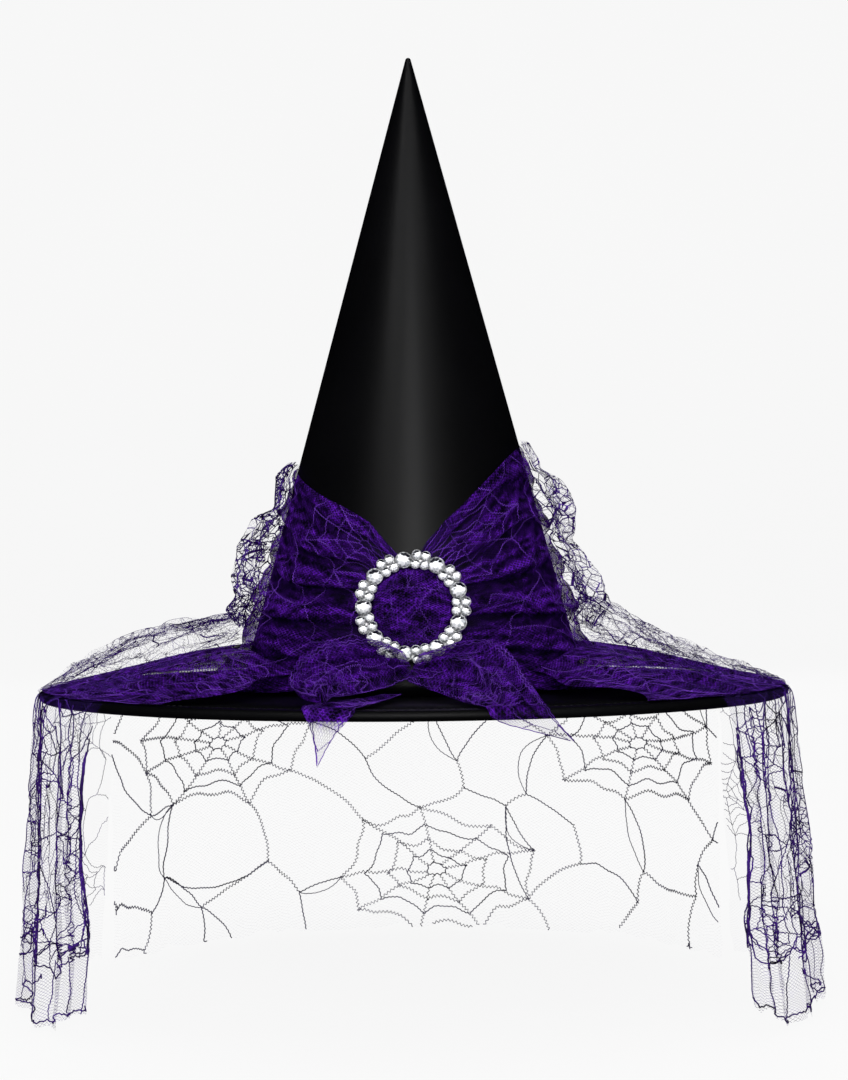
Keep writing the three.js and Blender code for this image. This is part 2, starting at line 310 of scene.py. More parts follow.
def net_material(name, dark, light, pitch, thread, cover=0.0, wobble=1.6, cells=None, strength=1.0):
    """Fine net of two crossing sets of threads. cover is how much shows between them.

    cells is (size, thread) of a coarser, irregular mesh over the net. strength is how solid its threads are.
    """
    g = Graph(name)
    split = g.node("SeparateXYZ", {0: g.node("TexCoord").outputs["UV"]})
    u, v = split.outputs["X"], split.outputs["Y"]
    flat = g.node("CombineXYZ", {0: u, 1: v}).outputs[0]
    sway = g.times(g.math("SUBTRACT", g.noise(60, 1, flat), 0.5), pitch * wobble)
    lines = []
    for sign in (1, -1):
        part_u, part_v = math.cos(NET_TILT) * sign, math.sin(NET_TILT)
        run = g.plus(g.times(u, part_u), g.times(v, part_v))
        run = g.math("DIVIDE", g.plus(run, sway), pitch)
        off = g.math("ABSOLUTE", g.math("SUBTRACT", g.math("FRACT", run), 0.5))
        lines.append(g.stroke(off, thread / pitch))
    mesh = g.times(g.math("MAXIMUM", *lines), strength)
    if cells:
        size, width = cells
        edge = g.node("TexVoronoi", {"Vector": flat, "Scale": 1 / size}, feature="DISTANCE_TO_EDGE")
        mesh = g.math("MAXIMUM", mesh, g.stroke(edge.outputs["Distance"], width / size))
    # A point's cover: how dense the lace is there, and on the crown band also painted shade, thinner in the
    # pleats' valleys
    covered = g.node("Attribute", attribute_name="cover").outputs["Fac"]
    alpha, shade = g.times(mesh, covered), g.noise(140, 3, flat)
    if cover:
        along = g.node("CombineXYZ", {0: g.times(u, 0.4), 1: v}).outputs[0]
        knit = g.node("CombineXYZ", {0: u, 1: g.times(v, 0.4)}).outputs[0]
        tuft = g.clear(g.noise(850, 2, knit))
        cloud = g.clear(g.noise(230, 4, along))
        g.bump(tuft, 0.9, 0.25 * MM)
        patch = g.span(g.noise(42, 3, along), 0.34, 0.6, cover * 0.5, min(1.0, cover * 1.35))
        thin = g.plus(g.times(covered, 0.75), 0.25)
        alpha = g.math("MAXIMUM", g.times(mesh, thin), g.times(patch, covered))
        shade = g.plus(g.times(tuft, 0.33), g.times(mesh, 0.17))
        shade = g.plus(g.times(cloud, 0.5), shade)
    bright = tuple(min(1.0, c * 3.6) for c in light)
    return g.set(
        Base_Color=g.ramp(shade, [(0.3, dark), (0.62, light), (0.95, bright)]),
        Roughness=0.8,
        Specular_IOR_Level=0.06,
        Alpha=alpha,
    )


def metal_material(name, colour, roughness):
    g = Graph(name)
    point = g.point()
    smudge = g.noise(300, 4, point)
    g.bump(g.noise(1500, 3, point), 0.05, 0.1 * MM)
    return g.set(
        Base_Color=g.ramp(smudge, [(0.3, tuple(c * 0.8 for c in colour)), (0.7, colour)]),
        Metallic=1.0,
        Roughness=g.span(smudge, 0.0, 1.0, roughness * 0.8, roughness * 1.3),
    )


def stone_material(name):
    """Cut clear stone with a foiled back. Each facet's base colour is a painted reflection, from near black to
    white, with a little random tint.
    """
    g = Graph(name)
    tint = g.times(g.noise(400, 2, g.point()), 0.2)
    # Each facet's painted reflection, with a random tint; the ramp paints it from near black to white
    painted_reflection = g.plus(g.node("Attribute", attribute_name="painted_reflection").outputs["Fac"], tint)
    stops = [(0.1, (0.004, 0.004, 0.008)), (0.5, (0.45, 0.47, 0.5)), (0.95, (0.93, 0.93, 0.95))]
    return g.set(Base_Color=g.ramp(painted_reflection, stops), Roughness=0.06, Coat_Weight=1.0, Coat_Roughness=0.02)


def floor_material():
    """White paper that glows a little, so that it stays an even white."""
    g = Graph("studio_paper")
    shade = g.noise(2, 2, g.point())
    colour = g.ramp(shade, [(0.3, (0.048, 0.048, 0.048)), (0.7, (0.052, 0.052, 0.052))])
    return g.set(Base_Color=colour, Roughness=0.9, Specular_IOR_Level=0.1, Emission_Color=(1, 1, 1, 1),
                 Emission_Strength=0.88)


def plain_fabric(name, dark, light, scale):
    """Foam or board: matt, with a fine grain."""
    g = Graph(name)
    point = g.point()
    grain = g.noise(scale, 3, point)
    g.bump(grain, 0.4, 0.3 * MM)
    return g.set(Base_Color=g.ramp(grain, [(0.3, dark), (0.7, light)]), Roughness=0.9, Specular_IOR_Level=0.2)


# ---------------------------------------------------------------- meshes


def link(name, mesh, material):
    obj = add_object(name, mesh)
    mesh.materials.append(material)
    mesh.polygons.foreach_set("use_smooth", [True] * len(mesh.polygons))
    mesh.update()
    return obj


def quads_mesh(name, points, quads, uvs=None):
    """Mesh from arrays: points (n, 3), quads (m, 4), uvs per point (n, 2)."""
    mesh = bpy.data.meshes.new(name)
    quads = np.asarray(quads, np.int32)
    mesh.vertices.add(len(points))
    mesh.vertices.foreach_set("co", np.asarray(points, np.float32).ravel())
    mesh.loops.add(quads.size)
    mesh.loops.foreach_set("vertex_index", quads.ravel())
    mesh.polygons.add(len(quads))
    mesh.polygons.foreach_set("loop_start", np.arange(0, quads.size, 4, dtype=np.int32))
    mesh.update(calc_edges=True)
    if uvs is not None:
        layer = mesh.uv_layers.new(name="cloth")
        layer.data.foreach_set("uv", np.asarray(uvs, np.float32)[quads.ravel()].ravel())
    mesh.validate()
    return mesh


def grid_quads(rows, columns, wrap=False):
    """Quads of a grid of points stored row by row. wrap joins the last row to the first."""
    i = np.arange(rows if wrap else rows - 1)[:, None]
    j = np.arange(columns - 1)[None, :]
    nxt = (i + 1) % rows
    here, there = i * columns + j, nxt * columns + j
    return np.stack([here, there, there + 1, here + 1], -1).reshape(-1, 4)


def lathe(name, profile, steps, material, closed=False):
    """Profile of (radius, height) turned about Z."""
    profile = np.array(profile + profile[:1] if closed else profile)
    turn = np.linspace(0, 2 * math.pi, steps, endpoint=False)
    flat = [np.outer(way, profile[:, 0]) for way in (np.cos(turn), np.sin(turn))]
    points = np.stack([*flat, np.tile(profile[:, 1], (steps, 1))], -1).reshape(-1, 3)
    mesh = quads_mesh(name, points, grid_quads(steps, len(profile), wrap=True))
    tidy(mesh)
    return link(name, mesh, material)


def tidy(mesh):
    """Joins points that meet, so that a turned form closes."""
    form = bmesh.new()
    form.from_mesh(mesh)
    bmesh.ops.remove_doubles(form, verts=form.verts, dist=1e-6)
    bmesh.ops.recalc_face_normals(form, faces=form.faces)
    form.to_mesh(mesh)
    form.free()


def tubes(name, lines, material):
    """One mesh of closed tubes. lines is a list of (points (n, 3), radius, sides)."""
    points, quads, total = [], [], 0
    askew = np.array([0.33, 0.52, 0.79])  # no thread runs this way for long
    for line, radius, sides in lines:
        tangent = unit(np.gradient(line, axis=0))
        side = unit(np.cross(tangent, askew))
        other = np.cross(tangent, side)
        turn = 2 * math.pi * np.arange(sides) / sides
        ring = side[:, None] * np.cos(turn)[:, None] + other[:, None] * np.sin(turn)[:, None]
        points.append((line[:, None] + ring * radius).reshape(-1, 3))
        n = len(line)
        i = np.arange(n - 1)[:, None] * sides
        j = np.arange(sides)[None, :]
        after = (j + 1) % sides
        quads.append(np.stack([i + j, i + after, i + sides + after, i + sides + j], -1).reshape(-1, 4) + total)
        if sides == 4:
            ends = np.array([[3, 2, 1, 0], [0, 1, 2, 3]])
            ends[1] += (n - 1) * sides
            quads.append(ends + total)
        total += n * sides
    mesh = quads_mesh(name, np.concatenate(points), np.concatenate(quads))
    return link(name, mesh, material)


# ---------------------------------------------------------------- lace


def crumple(points, size, depth, seed):
    """Soft random movement of points, with lumps of about this size."""
    rng = np.random.default_rng(seed)
    move = np.zeros_like(points)
    waves = 16
    for _ in range(waves):
        way = rng.normal(size=3)
        way *= 2 * math.pi / size / np.linalg.norm(way) * rng.uniform(0.6, 1.5)
        move += rng.normal(size=3) * np.sin(points @ way + rng.uniform(0, FULL_TURN))[..., None]
    return move * depth / math.sqrt(waves)


class Cloth:
    """A sheet given by a function of two numbers from 0 to 1, with its own flat measure.

    u runs along the first number and v along the second, in metres of cloth.
    """

    def __init__(self, shape, steps_u, steps_v, crumples=(), fade=None):
        a, b = np.meshgrid(np.linspace(0, 1, steps_u + 1), np.linspace(0, 1, steps_v + 1), indexing="ij")
        self.points = np.stack(shape(a, b), -1)
        share = 1.0 if fade is None else fade(a, b)[..., None]
        for size, depth, seed in crumples:
            self.points = self.points + crumple(self.points, size, depth, seed) * share
        along = np.linalg.norm(np.diff(self.points, axis=0), axis=2).mean(1)
        down = np.linalg.norm(np.diff(self.points, axis=1), axis=2).mean(0)
        self.u = np.concatenate([[0], np.cumsum(along)])
        self.v = np.concatenate([[0], np.cumsum(down)])
        long = float(self.u[-1] - self.u[0])
        self.flat = (long, max(float(self.v[-1]), 1.001 * self.area() / long))

    def area(self):
        p = self.points
        one = np.cross(p[1:, :-1] - p[:-1, :-1], p[:-1, 1:] - p[:-1, :-1])
        two = np.cross(p[1:, 1:] - p[1:, :-1], p[1:, 1:] - p[:-1, 1:])
        return float((np.linalg.norm(one, axis=2) + np.linalg.norm(two, axis=2)).sum() / 2)

    def at(self, uv):
        i = np.interp(uv[:, 0], self.u, np.arange(len(self.u)))
        j = np.interp(uv[:, 1], self.v, np.arange(len(self.v)))
        i0 = np.minimum(i.astype(int), len(self.u) - 2)
        j0 = np.minimum(j.astype(int), len(self.v) - 2)
        f, g = (i - i0)[:, None], (j - j0)[:, None]
        p = self.points
        low = p[i0, j0] * (1 - f) + p[i0 + 1, j0] * f
        high = p[i0, j0 + 1] * (1 - f) + p[i0 + 1, j0 + 1] * f
        return low * (1 - g) + high * g

    def holds(self, uv):
        u, v = uv[:, 0], uv[:, 1]
        return (u > self.u[0]) & (u < self.u[-1]) & (v > 0) & (v < self.v[-1])

    def mesh_object(self, name, material, cover=None):
        rows, columns = self.points.shape[:2]
        u, v = np.meshgrid(self.u, self.v, indexing="ij")
        uvs = np.stack([u, v], -1).reshape(-1, 2)
        mesh = quads_mesh(name, self.points.reshape(-1, 3), grid_quads(rows, columns), uvs)
        a, b = np.meshgrid(np.linspace(0, 1, rows), np.linspace(0, 1, columns), indexing="ij")
        # Each point's cover: lace density, and on the crown band also painted shade in the pleats' valleys
        share = np.ones_like(a) if cover is None else cover(a, b)
        values = share.astype(np.float32).ravel()
        mesh.attributes.new("cover", "FLOAT", "POINT").data.foreach_set("value", values)
        return link(name, mesh, material)


WEB_PITCH = (276 * MM, 166 * MM)  # from one web to the next along and down the cloth
WEB_HALF = (62 * MM, 38 * MM)
WEB_ORIGIN = (8 * MM, 130 * MM)
WEB_SPOKES = 9
CELL = (52 * MM, 42 * MM)
CROSSING = 0.3  # share of the knots with a cord across a cell
LINE_STEP = 2.6 * MM


def bowed(a, b, bow, wobble=0.0, rng=None):
    """Points of a curve from a to b, bowed to its left by a share of its length."""
    a, b = np.asarray(a, float), np.asarray(b, float)
    run = b - a
    count = max(3, int(np.linalg.norm(run) / LINE_STEP) + 1)
    t = np.linspace(0, 1, count)[:, None]
    left = np.array([-run[1], run[0]])
    line = a + run * t + left * (4 * bow * t * (1 - t))
    if wobble and rng is not None:
        phase = random_phases(rng, 2)
        line = line + left * wobble * np.sin(math.pi * t) * np.sin(t * 9 + phase[0])
    return line


def web(centre, ends, rng):
    """Spokes and scalloped rings round one centre."""
    lines = [(bowed(centre + end * 0.1, centre + end, rng.uniform(-0.05, 0.05)), "ladder") for end in ends]
    count = len(ends)
    for share, kind in ((0.1, "cord"), (0.3, "cord"), (0.5, "ladder"), (0.74, "cord"), (1.0, "ladder")):
        wander = rng.uniform(0.93, 1.07, count) if share < 1 else np.ones(count)
        for k in range(count):
            a = centre + ends[k] * share * wander[k]
            b = centre + ends[(k + 1) % count] * share * wander[(k + 1) % count]
            lines.append((bowed(a, b, rng.uniform(0.05, 0.17), 0.03, rng), kind))
    return lines


def spindle(centre, turn):
    """A small knotted bar between two bunches of long loops."""
    way = np.array([math.cos(turn), math.sin(turn)])
    side = np.array([-way[1], way[0]])
    reach = 7.5 * MM
    lines = [(bowed(centre - way * reach, centre + way * reach, 0.03), "bar")]
    for end in (-1, 1):
        tip = centre + way * reach * end * 0.7
        for size, spread in ((15, 3.4), (21, 5.2)):
            far = tip + way * end * size * MM
            for bend in (1, -1):
                middle = (tip + far) / 2 + side * bend * spread * MM
                t = np.linspace(0, 1, 9)[:, None]
                lines.append((tip * (1 - t) ** 2 + 2 * middle * t * (1 - t) + far * t**2, "fine"))
    return lines


def web_centres(u0, u1, v0, v1, shift, scale, rng):
    """Centres of the webs, in a brick layout."""
    pitch = np.array(WEB_PITCH) * scale
    origin = np.array(WEB_ORIGIN) * scale + shift
    reach = WEB_HALF[1] * scale
    centres = []
    row = math.floor((v0 - origin[1]) / (pitch[1] / 2)) - 1
    while origin[1] + row * pitch[1] / 2 < v1 + reach:
        column = math.floor((u0 - origin[0]) / pitch[0]) - 1
        while origin[0] + column * pitch[0] < u1 + pitch[0]:
            centres.append(origin + pitch * (column + (0.5 if row % 2 else 0), row / 2))
            column += 1
        row += 1
    return np.array(centres) + rng.uniform(-4, 4, (len(centres), 2)) * MM * scale


def web_pattern(u0, u1, v0, v1, seed, shift=(0.0, 0.0), scale=1.0, style="mixed"):
    """Lines of the lace over a stretch of cloth: webs, and large rounded cells tied to their spokes."""
    rng = np.random.default_rng(seed)
    half = np.array(WEB_HALF) * scale
    centres = web_centres(u0, u1, v0, v1, shift, scale, rng)
    lines, spokes = [], []
    for centre in centres:
        turn = (np.arange(WEB_SPOKES) + rng.uniform(-0.2, 0.2, WEB_SPOKES)) * 2 * math.pi / WEB_SPOKES
        turn = turn + rng.uniform(0, 1)
        ends = np.stack([np.cos(turn), np.sin(turn)], 1) * rng.uniform(0.9, 1.1, (WEB_SPOKES, 1)) * half
        spokes.append(centre + ends)
        lines += web(centre, ends, rng)

    cell = np.array(CELL) * scale
    knots, tied = {}, {}
    for i in range(math.floor(u0 / cell[0] * 2) - 2, math.ceil(u1 / cell[0] * 2) + 3):
        for j in range(math.floor(v0 / cell[1]) - 2, math.ceil(v1 / cell[1]) + 3):
            lift = 0.17 if (i + j) % 2 == 0 else -0.17
            knot = (np.array([i / 2, j + lift]) + rng.uniform(-0.26, 0.26, 2)) * cell
            away = np.linalg.norm((knot - centres) / half, axis=1)
            near = int(away.argmin())
            if away[near] < 0.72:
                continue
            if away[near] < 1.28:
                ends = spokes[near]
                knot = ends[np.linalg.norm(ends - knot, axis=1).argmin()]
                tied[i, j] = near
            knots[i, j] = knot
    for (i, j), knot in knots.items():
        ways = [(i + 1, j)] + ([(i, j + 1)] if (i + j) % 2 == 0 else [])
        for way in ways:
            bow, pick = rng.uniform(-0.12, 0.12), rng.uniform()
            if way not in knots or (tied.get((i, j), -1) == tied.get(way, -2)):
                continue
            lines.append((bowed(knot, knots[way], bow), "ladder" if pick < 0.6 else "cord"))
            if pick > 0.88 and style == "mixed":
                lines.append((bowed(knot, knots[way], bow + 0.2), "fine"))
        across, pick = ((i + 2, j), (i + 1, j + 1))[rng.integers(2)], rng.uniform()
        if pick < CROSSING and across in knots and (i, j) not in tied:
            lines.append((bowed(knot, knots[across], rng.uniform(-0.15, 0.15)), "cord"))
        turn, pick = rng.uniform(-0.5, 0.5), rng.uniform()
        if pick < 0.045 and (i, j) not in tied:
            lines += spindle(knot + cell * (0.5, 0.45), turn)
    if style == "soft":
        lines = [(line, "vein" if kind in ("cord", "ladder") else kind) for line, kind in lines]
    if style == "drawn":
        lines = [(line, "cord" if kind == "ladder" else kind) for line, kind in lines]
    return lines


def runs(line, keep):
    """The stretches of a line whose points are kept."""
    parts, start = [], None
    for k, good in enumerate(list(keep) + [False]):
        if good and start is None:
            start = k
        if not good and start is not None:
            if k - start > 1:
                parts.append(line[start:k])
            start = None
    return parts


def resampled(line, step):
    along = np.concatenate([[0], np.cumsum(np.linalg.norm(np.diff(line, axis=0), axis=1))])
    count = max(2, int(along[-1] / step) + 1)
    places = np.linspace(0, along[-1], count)
    return np.stack([np.interp(places, along, line[:, k]) for k in range(2)], 1)


def twisted(line, swing, step):
    """A thread that goes from side to side of a line, in the flat cloth."""
    fine = resampled(line, step)
    slope = unit(np.gradient(fine, axis=0))
    side = np.stack([-slope[:, 1], slope[:, 0]], 1) * swing / 2
    return fine + side * np.where(np.arange(len(fine)) % 2, 1, -1)[:, None]


# Radius, number of sides, swing from side to side, and length of a half swing: lengths in mm
THREADS = {
    "bar": (0.8, 4, 0.3, 1.5),
    "cord": (0.23, 3, 0.5, 1.25),
    "fine": (0.17, 3, 0.25, 1.4),
    "ladder": (0.21, 3, 1.5, 1.15),
    "rope": (0.3, 3, 0.7, 2.2),
    "vein": (0.21, 3, 0.8, 0.9),
}


def lace_threads(name, cloth, lines, material, weight=1.0, heft=None):
    """The pattern's threads, laid on a cloth. heft is how thick they are at a share of its width."""
    solid = []
    for line, kind in lines:
        radius, sides, swing, step = THREADS[kind]
        for part in runs(line, cloth.holds(line)):
            laid = twisted(part, swing * MM, step * MM)
            share = (laid[:, 0].mean() - cloth.u[0]) / (cloth.u[-1] - cloth.u[0])
            thick = weight * (heft(share) if heft else 1.0)
            solid.append((cloth.at(laid), radius * MM * thick, sides))
    return tubes(name, solid, material)


def polar(radius, azimuth, z):
    """Point at an azimuth in degrees from the back."""
    a = np.radians(azimuth)
    return radius * np.sin(a), radius * np.cos(a), z


def place_lace(name, cloth, net, thread, body, node, held, rest, seed, shift=(0, 0), scale=1.0,
               weight=1.0, blend=None, cover=None, shade=True, style="mixed", extra=(), reach=0.0, heft=None):
    """A lace piece: its net sheet and the threads on it. It stands for a CAD node. rest is not used.

    extra is more lines; the pattern stops this far (reach) above the cloth's far edge.
    """
    sheet = cloth.mesh_object(name, net, cover)
    sheet.visible_shadow = shade
    u0, u1 = float(cloth.u[0]), float(cloth.u[-1])
    low = float(cloth.v[-1]) - reach
    lines = web_pattern(u0, u1, 0.0, low, seed, shift, scale, style)
    lines = [(part, kind) for line, kind in lines for part in runs(line, line[:, 1] < low)]
    threads = lace_threads(name + "_threads", cloth, lines + list(extra), thread, weight, heft)
    for piece in (sheet, threads):
        if blend:
            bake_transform(piece)
        else:
            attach(piece, body)
    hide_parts(node)
    cloth.area()


def wavy(start, end, swing, turns, rng):
    """A line over the cloth that wanders from side to side."""
    start, end = np.array(start, float), np.array(end, float)
    run = end - start
    count = max(4, int(np.linalg.norm(run) / LINE_STEP))
    t = np.linspace(0, 1, count)[:, None]
    left = np.array([-run[1], run[0]]) / np.linalg.norm(run)
    phase = random_phases(rng, 2)
    sway = np.sin(t * turns * FULL_TURN + phase[0]) + 0.5 * np.sin(t * turns * 14.1 + phase[1])
    return start + run * t + left * sway * swing


# Colours of the lace
VIOLET_DEEP = (0.0012, 0.0002, 0.004)
VIOLET = (0.0195, 0.0019, 0.076)
VIOLET_LIGHT = (0.11, 0.032, 0.33)
VIOLET_DARK_THREAD = (0.004, 0.002, 0.014)
VIOLET_THREAD = (0.040, 0.010, 0.16)


def pleat(x):
    """Overlapping pleats: a slow rise and a quick fall, once in each whole number."""
    f = np.mod(x, 1.0)
    return np.where(f < 0.84, ease(f / 0.84), 1 - ease((f - 0.84) / 0.16))


def front_cords(cloth, side, rng):
    """Drawn-up cords near a side length's front edge, and the border over its hem."""
    front, way = (0.0, 1.0) if side == "left" else (float(cloth.u[-1]), -1.0)
    foot = float(cloth.v[-1])
    extra = []
    for k in range(5):
        place = front + way * (1.5 + 2.2 * k) * MM
        ends = (place, 20 * MM + 6 * MM * k), (place, foot - (30 + 9 * (k % 2)) * MM)
        extra.append((wavy(*ends, 1.3 * MM, 3, rng), "rope"))
    for k in range(9):
        place = front + way * (16 + 17 * k + rng.uniform(-5, 5)) * MM
        ends = (place, 2 * MM), (place + rng.uniform(-8, 8) * MM, foot * rng.uniform(0.5, 0.85))
        extra.append((wavy(*ends, 1.6 * MM, 2, rng), "cord"))
    for drop, swing in ((30 * MM, 4 * MM), (33 * MM, 5 * MM), (2.5 * MM, 1 * MM)):
        ends = (front + way * 1 * MM, foot - drop), (front + way * 190 * MM, foot - drop)
        extra.append((wavy(*ends, swing, 3, rng), "rope"))
    for k in range(7):
        place = front + way * (4 + 24 * k) * MM
        ends = (place, foot - 32 * MM), (place + rng.uniform(-6, 6) * MM, foot)
        extra.append((wavy(*ends, 1 * MM, 1, rng), "cord"))
    return extra


# The veil's hanging lengths: first and last azimuth, flare at the hem, seed, steps along, how far out they hang
# where they lap, and the azimuth of two points made for them, which are not used to swing them. The back one laps
# inside, so that all three can swing past each other.
DROPS = {
    "left": (-VEIL_FRONT, -60.5, 8 * MM, 3, 520, 7 * MM, -97),
    "back": (-61.5, 61.5, 1.5 * MM, 5, 300, -7 * MM, 0),
    "right": (60.5, VEIL_FRONT, 13 * MM, 8, 520, 6 * MM, 97),
}
HEM_TEETH = 60
DROP_BEND = 45 * MM  # how far below the brim the lower of two points made for a length lies


def veil_drop(side):
    """One hanging length of the veil. side is left, back or right."""
    first, last, flare, seed, steps, lap_step, middle = DROPS[side]
    rng = np.random.default_rng(seed)
    phases = random_phases(rng)
    hem = rng.uniform(0, 1, HEM_TEETH) * rng.integers(0, 2, HEM_TEETH)

    def shape(a, b):
        azimuth = first + (last - first) * a
        if side == "back":
            azimuth = azimuth * (1 + 0.04 * b)
        away = np.abs(azimuth)
        lap = between(44, 54, away) if side == "back" else 1 - between(68, 86, away)
        gathered = between(64, 88, away)
        tight = between(117, 125, away)
        length = 84 * MM * (1 - gathered) + 36 * MM * gathered - 22 * MM * tight
        arc = np.radians(last - first) * BRIM_RADIUS / (a.shape[0] - 1)
        phase = np.cumsum(2 * math.pi * arc / length, axis=0) + phases[0]
        phase = phase + 0.9 * np.sin(phase * 0.37 + phases[1])
        growth = b**0.5 * (1 - 0.35 * b**3)
        opening = 1 - 0.45 * tight * between(0.62, 0.9, b)
        swell = (2.2 * (1 - gathered) + 4.5 * gathered - 1.2 * tight) * MM * opening * (1 - 0.75 * lap)
        drift = 0.8 * np.sin(3.1 * b + phases[2] + azimuth * 0.11)
        wave = np.sin(phase + drift)
        radius = BRIM_RADIUS + 1.3 * MM + flare * b**1.4 * between(50, 80, away) + swell * wave * growth
        radius = radius + 1.2 * MM * np.sin(phase * 2.3 + 5 * b + phases[3]) * growth * gathered * (1 - lap)
        radius = radius + lap_step * between(0, 0.08, b) * (0.15 + 0.85 * b) * lap
        shift = (2.0 * gathered + 0.8) * MM * np.cos(phase + drift) * growth / BRIM_RADIUS
        pull = between(117, VEIL_FRONT, away) * 3.0 * arch(b * 1.35) * np.sign(azimuth)
        ragged = np.interp(azimuth[:, 0], np.linspace(first, last, HEM_TEETH), hem)
        front = between(120, VEIL_FRONT, away[:, 0]) * 14 * MM
        bottom = DROP_LENGTH - front - ragged * 4 * MM
        z = EDGE_TOP - b * bottom[:, None]
        inward = 1.8 * MM * np.exp(-b * 60)
        return polar(radius - inward, azimuth + np.degrees(shift) - pull, z)

    depth = 0.4 * MM if side == "back" else 0.6 * MM
    crumples = ((26 * MM, depth, seed), (11 * MM, depth * 0.5, seed + 1))
    cloth = Cloth(shape, steps, 60, crumples, lambda a, b: between(0, 0.2, b))
    if side == "back":
        cloth.u -= cloth.u[-1] / 2
    middle = math.radians(middle)
    way = Vector((math.sin(middle), math.cos(middle), 0)) * BRIM_RADIUS
    blend = (way + Vector((0, 0, EDGE_TOP)), way + Vector((0, 0, -DROP_BEND)))
    body = f"veil_drop_{side}"
    net, thread, looks = NET_BACK, THREAD_BACK, {"weight": 1.75}
    if side != "back":
        extra = front_cords(cloth, side, rng)
        toward = (lambda a: 1 - a) if side == "left" else (lambda a: a)
        net, thread = NET_SIDE, THREAD_VEIL
        looks = {"scale": 0.55, "weight": 1.3, "style": "drawn", "extra": extra, "reach": 30 * MM,
                 "cover": lambda a, b: 0.15 + 0.85 * between(0.42, 0.62, toward(a)),
                 "heft": lambda a: 0.55 + 0.55 * between(0.4, 0.65, toward(a))}
    place_lace(f"veil_{side}", cloth, net, thread, body, body, "hung", "brim_edge", seed, blend=blend, shade=False,
               **looks)


def veil_tent():
    """The airy layer over the brim, from the crown to the edge."""
    # Radius and height in mm, at the hat's left and right
    left = ([94, 112, 130, 148, 177, 190, 195.5], [41, 38, 35.5, 29.5, 16.5, 8, 4.6])
    right = ([94, 108, 120, 138, 160, 184, 195.5], [50, 43, 34, 25, 15.5, 8, 4.6])

    def shape(a, b):
        azimuth = -VEIL_FRONT + 2 * VEIL_FRONT * a
        turn = np.radians(azimuth)
        radius = (195.7 - 100 * b) * MM
        share = (1 + np.sin(turn)) / 2
        heights = [np.interp(radius / MM, *side) for side in (left, right)]
        z = (heights[0] * (1 - share) + heights[1] * share) * MM
        middle = arch(b) ** 0.8
        wave = np.sin(turn * 19 + 1.5 * np.sin(turn * 5))
        fine = np.sin(turn * 47 + 2)
        z = z + (2.6 * wave + 1.2 * fine) * MM * middle
        front = between(112, VEIL_FRONT, np.abs(azimuth))
        z = z - front * middle * 7 * MM
        return polar(radius, azimuth + 0.9 * np.cos(turn * 19) * middle, z)

    cloth = Cloth(shape, 420, 44, ((16 * MM, 1.5 * MM, 5),), lambda a, b: between(0, 0.15, b))
    place_lace("veil_tent_lace", cloth, NET_TENT, THREAD_VEIL, "hat", "veil_tent", "gathered", "brim_edge", 12,
               scale=0.4, weight=0.5, shade=False)


def veil_lining():
    """The denser doubled layer, low on the brim."""
    # In mm
    radii = [96, 121, 142, 166, 186, 193]
    heights = [25, 20, 14.5, 9, 5.6, 5.0]

    def shape(a, b):
        azimuth = -LINING_FRONT + 2 * LINING_FRONT * a
        radius = (193.5 - 98 * b) * MM
        z = np.interp(radius / MM, radii, heights) * MM
        middle = arch(b, 0.02) ** 0.7
        turn = np.radians(azimuth)
        fold = pleat(azimuth / 17 + 0.35 * np.sin(turn * 5) + 0.6 * b) * 2.6
        wave = fold + np.sin(turn * 51 + 9 * b) * 0.5
        front = between(118, LINING_FRONT, np.abs(azimuth))
        z = z + (wave - 1.0) * MM * middle * (1 - 0.3 * front) - (z - 5.2 * MM) * front * 0.5
        edge = between(LINING_FRONT - 8, LINING_FRONT, np.abs(azimuth)) * np.sign(azimuth)
        wander = (2.6 * np.sin(b * 9 + turn) - 1.5) * edge
        return polar(radius, azimuth + wander, np.maximum(z, 4.7 * MM))

    cloth = Cloth(shape, 420, 44)
    place_lace("veil_lining_lace", cloth, NET_LINING, THREAD_BAND, "hat", "veil_lining", "laid",
               "brim_edge", 21, scale=0.5, weight=0.85, style="soft")


# The V of the band's top edge: sine of the angle from the front, and height in mm
NECKLINE = {
    "left": ([0, 0.1, 0.17, 0.31, 0.68, 1.0], [70, 73, 78, 88, 102, 117]),
    "right": ([0, 0.05, 0.1, 0.25, 0.53, 0.88, 1.0], [70, 73, 79, 91, 107, 123, 129]),
}


